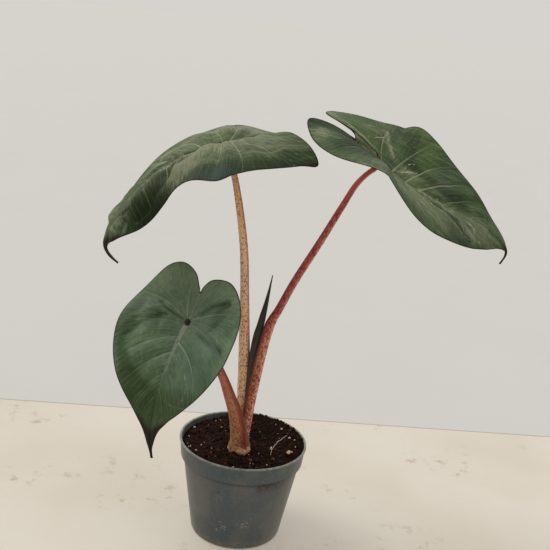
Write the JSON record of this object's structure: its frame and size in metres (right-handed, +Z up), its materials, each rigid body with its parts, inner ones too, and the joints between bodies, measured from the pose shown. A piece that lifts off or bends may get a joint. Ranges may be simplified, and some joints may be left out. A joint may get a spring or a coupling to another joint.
{
  "type": "potted alocasia plant",
  "caption": "Young potted alocasia with shield-shaped drooping leaves on long stalks and a rolled new leaf, in a tapered plastic nursery pot filled with soil.",
  "frame": {"origin": "centre of the pot's base, on the surface that the pot stands on", "axes": "+Z up, +X to the right in the plant's front view, +Y to its back"},
  "size_m": [0.3565, 0.1616, 0.4018],
  "materials": {
    "pot": "semi-matt thin moulded plastic, grey blue-green, scuffed",
    "soil": "damp dark peat with crumbs, reddish fibres and white grains",
    "stalk_tan": "smooth tan to beige plant skin with dark red flecks",
    "stalk_red": "smooth brownish red plant skin with dark flecks",
    "rolled_leaf": "satin blackish green rolled leaf",
    "blade": "satin dark green leaf with paler veins and a thin dark edge"
  },
  "bodies": {
    "root": {"pot": "pot", "soil": "soil", "stalk_front": "stalk_tan", "stalk_left": "stalk_tan", "stalk_right": "stalk_red", "rolled_leaf": "rolled_leaf", "blade_front": "blade", "blade_left": "blade", "blade_right": "blade"}
  },
  "joints": []
}
